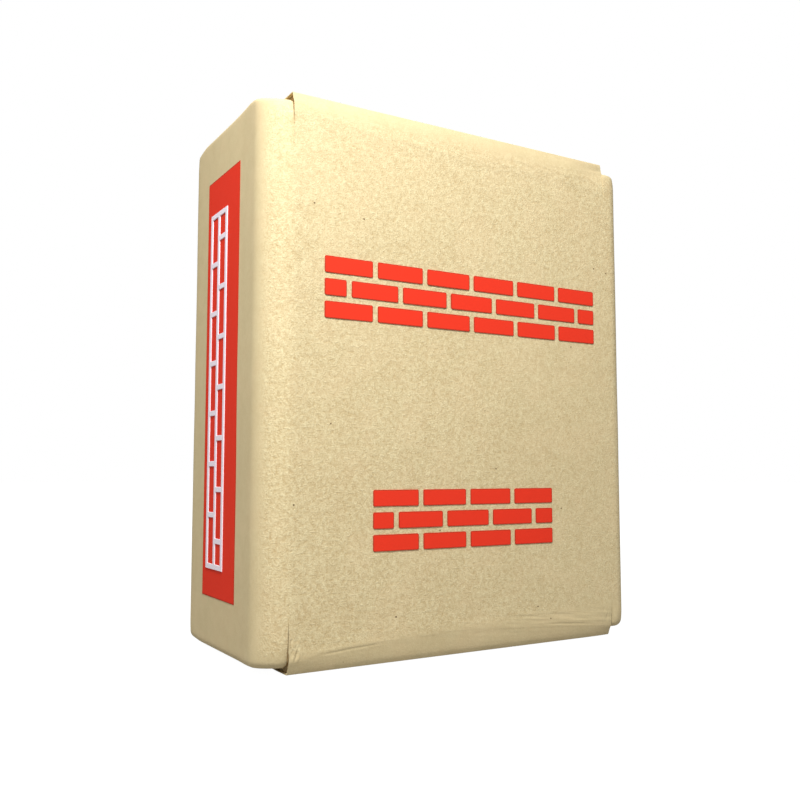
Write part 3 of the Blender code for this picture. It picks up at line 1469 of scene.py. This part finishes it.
@dataclass
class SideStripe:
    """The red stripe on the left side, with a column of brickwork drawn on it in white joints."""

    sizes: SackSizes
    front: float = -0.0340
    back: float = 0.0503
    low: float = 0.0515
    high: float = 0.4448
    relief: float = 0.0003
    sunk: float = 0.0010
    ink: InkBlock = InkBlock(corner=0.0008, corner_segments=3, edge=0.00015, rim=0.0008, least_face=1e-3)
    marks_front: float = -0.0040
    marks_back: float = 0.0400
    marks_low: float = 0.0770
    marks_high: float = 0.4110
    line: float = 0.0048
    bricks: int = 7
    marks_relief: float = 0.0008
    marks_edge: float = 0.0003
    stripe: bpy.types.Object = field(init=False)
    marks: bpy.types.Object = field(init=False)

    def build(self) -> None:
        """Model the stripe and the white joints."""
        face = -self.sizes.half_width
        size = (self.relief + self.sunk, self.back - self.front, self.high - self.low)
        middle = face + (self.sunk - self.relief) / 2.0
        centre = (middle, (self.front + self.back) / 2.0, (self.low + self.high) / 2.0)
        self.stripe = add_block("side_stripe", size, centre)
        self.ink.shape(self.stripe, axis=0, outer=face - self.relief)
        self.marks = self.build_marks(face)

    def build_marks(self, face: float) -> bpy.types.Object:
        """Cut the brick fields out of a plate and leave the joints between them.

        Args:
            face: The side face's place on X.

        Returns:
            The lattice of joints.
        """
        width = self.marks_back - self.marks_front
        height = self.marks_high - self.marks_low
        outer = face - self.relief - self.marks_relief
        centre = (outer, self.marks_front + width / 2.0, self.marks_low + height / 2.0)
        leave_nothing_selected()
        bpy.ops.mesh.primitive_plane_add(size=1.0, location=centre, rotation=(0.0, -math.pi / 2.0, 0.0))
        bpy.context.object.scale = (height, width, 1.0)
        plate = place_and_name("stripe_brickwork")
        pitch = (height - self.line) / self.bricks
        course = (width - self.line) / 2.0
        half_line = self.line / 2.0
        levels = [self.marks_low + half_line + i * pitch / 2.0 for i in range(2 * self.bricks + 1)]
        rows = [self.marks_front + half_line + i * course for i in range(3)]

        def inside_brick(part: bmesh.types.BMFace) -> bool:
            """Find out whether a face of the plate lies in a brick and not in a joint.

            Args:
                part: The face.

            Returns:
                True where it is to be cut out.
            """
            place = part.calc_center_median()
            if min(abs(place.y - row) for row in rows) < half_line:
                return False
            upper_course = place.y > rows[1]
            joints = levels[0::2] if upper_course else [levels[0], *levels[1::2], levels[-1]]
            return min(abs(place.z - level) for level in joints) > half_line

        with editing(plate):
            for normal, middles in ((UP, levels), (ALONG, rows)):
                for middle in middles:
                    cut(normal, middle - half_line)
                    cut(normal, middle + half_line)
            pick("faces", inside_brick)
            bpy.ops.mesh.delete(type="FACE")
            bpy.ops.mesh.select_all(action="SELECT")
            bpy.ops.mesh.dissolve_limited(angle_limit=math.radians(1.0))
        thicken_paper(plate, self.marks_relief + self.relief + self.sunk / 2.0, -ACROSS)
        with editing(plate, "EDGE"):
            raised = outer + TOUCH
            pick("edges", lambda e: all(v.co.x < raised for v in e.verts) and e.calc_face_angle(0.0) > 1.0)
            round_off(self.marks_edge, segments=2)
        return plate

    def dress(self, finishes: Finishes) -> None:
        """Finish the stripe in red ink and its joints in white."""
        self.ink.dress(self.stripe, finishes)
        dress(self.marks, finishes.white, angle=20.0)


@dataclass(frozen=True)
class Studio:
    """The pale floor, the white surround, the soft light and the camera."""

    eye: tuple[float, float, float] = (-0.4734, -0.7681, 0.1656)
    tilt: float = 94.690
    heading: float = -30.883
    lens: float = 39.625
    key_place: tuple[float, float, float] = (-0.471, -0.642, 1.030)
    key_power: float = 63.0
    key_radius: float = 0.12
    fill_place: tuple[float, float, float] = (1.150, 1.250, 0.950)
    fill_power: float = 46.0
    fill_radius: float = 0.40
    ambient: float = 0.495
    surround_radius: float = 14.0
    floor_glow: float = 0.985
    bounce_albedo: float = 0.34

    def build(self) -> None:
        """Set up the whole studio."""
        self.camera()
        self.light()
        self.floor()

    def camera(self) -> None:
        """Put the camera where the photograph was taken from."""
        leave_nothing_selected()
        turn = Euler((math.radians(self.tilt), 0.0, math.radians(self.heading)))
        bpy.ops.object.camera_add(location=self.eye, rotation=turn)
        camera = bpy.context.object
        camera.name = "photo_camera"
        camera.data.lens = self.lens
        camera.data.sensor_width = 36.0
        camera.data.clip_start = 0.01
        camera.data.clip_end = 100.0
        bpy.context.scene.camera = camera

    def light(self) -> None:
        """Light from the upper left front, with a soft fill behind and an even pale surround."""
        lamps = (
            ("key_light", self.key_place, self.key_power, self.key_radius),
            ("fill_light", self.fill_place, self.fill_power, self.fill_radius),
        )
        for name, place, power, radius in lamps:
            leave_nothing_selected()
            bpy.ops.object.light_add(type="POINT", location=place)
            lamp = bpy.context.object
            lamp.name = name
            lamp.visible_camera = False
            lamp.data.energy = power
            lamp.data.shadow_soft_size = radius
        world = bpy.data.worlds.new("pale_surround")
        world.use_nodes = True
        background = world.node_tree.nodes["Background"]
        background.inputs["Color"].default_value = (1.0, 1.0, 1.0, 1.0)
        background.inputs["Strength"].default_value = self.ambient
        bpy.context.scene.world = world
        bpy.context.scene.view_settings.view_transform = "Standard"

    def floor(self) -> None:
        """Lay the pale floor in a white surround that only the camera sees, and a bounce board under it."""
        leave_nothing_selected()
        bpy.ops.mesh.primitive_circle_add(vertices=96, radius=self.surround_radius, fill_type="NGON")
        floor = bpy.context.object
        floor.name = "floor"
        around, within = self.surround_radius * 1.02, self.surround_radius * 0.98
        bpy.ops.mesh.primitive_uv_sphere_add(segments=48, ring_count=24, radius=around)
        surround = bpy.context.object
        surround.name = "surround"
        under_floor = (0.0, 0.0, -0.001)
        bpy.ops.mesh.primitive_circle_add(vertices=96, radius=within, fill_type="NGON", location=under_floor)
        board = bpy.context.object
        board.name = "bounce_board"
        coats = ((floor, self.floor_glow, 0.10), (surround, 1.0, 0.0), (board, 0.0, self.bounce_albedo))
        for obj, glow, albedo in coats:
            material = Bench(obj.name).finish(
                Base_Color=(albedo, albedo, albedo),
                Roughness=1.0,
                Specular_IOR_Level=0.0,
                Emission_Color=(1.0, 1.0, 1.0),
                Emission_Strength=glow,
            )
            obj.data.materials.append(material)
            only_seen = obj is not board
            obj.visible_camera = only_seen
            obj.visible_diffuse = not only_seen
            obj.visible_glossy = False
            obj.visible_transmission = False
            obj.visible_shadow = not only_seen


def main() -> None:
    """Build the studio and every piece of the sack, and report them."""
    logging.basicConfig(level=logging.INFO, format="%(name)s %(message)s")
    Studio().build()
    sizes = SackSizes.read()
    finishes = Finishes(sizes)
    pieces = [
        SackBody(sizes),
        EndFlap(sizes, End.TOP, Face.FRONT),
        EndFlap(sizes, End.TOP, Face.BACK),
        EndFlap(sizes, End.BOTTOM, Face.FRONT, marks=BOTTOM_FRONT_MARKS),
        EndFlap(sizes, End.BOTTOM, Face.BACK),
        *(EndCover(sizes, end) for end in End),
        TubeSeam(sizes),
        BrickBand(sizes, "upper_brick_band", left=-0.1475, right=0.1602, low=0.2973, high=0.3514, bricks=6),
        BrickBand(sizes, "lower_brick_band", left=-0.0995, right=0.1014, low=0.0971, high=0.1503, bricks=4),
        SideStripe(sizes),
    ]
    for piece in pieces:
        piece.build()
        piece.dress(finishes)
    leave_nothing_selected()


if __name__ == "__main__":
    main()
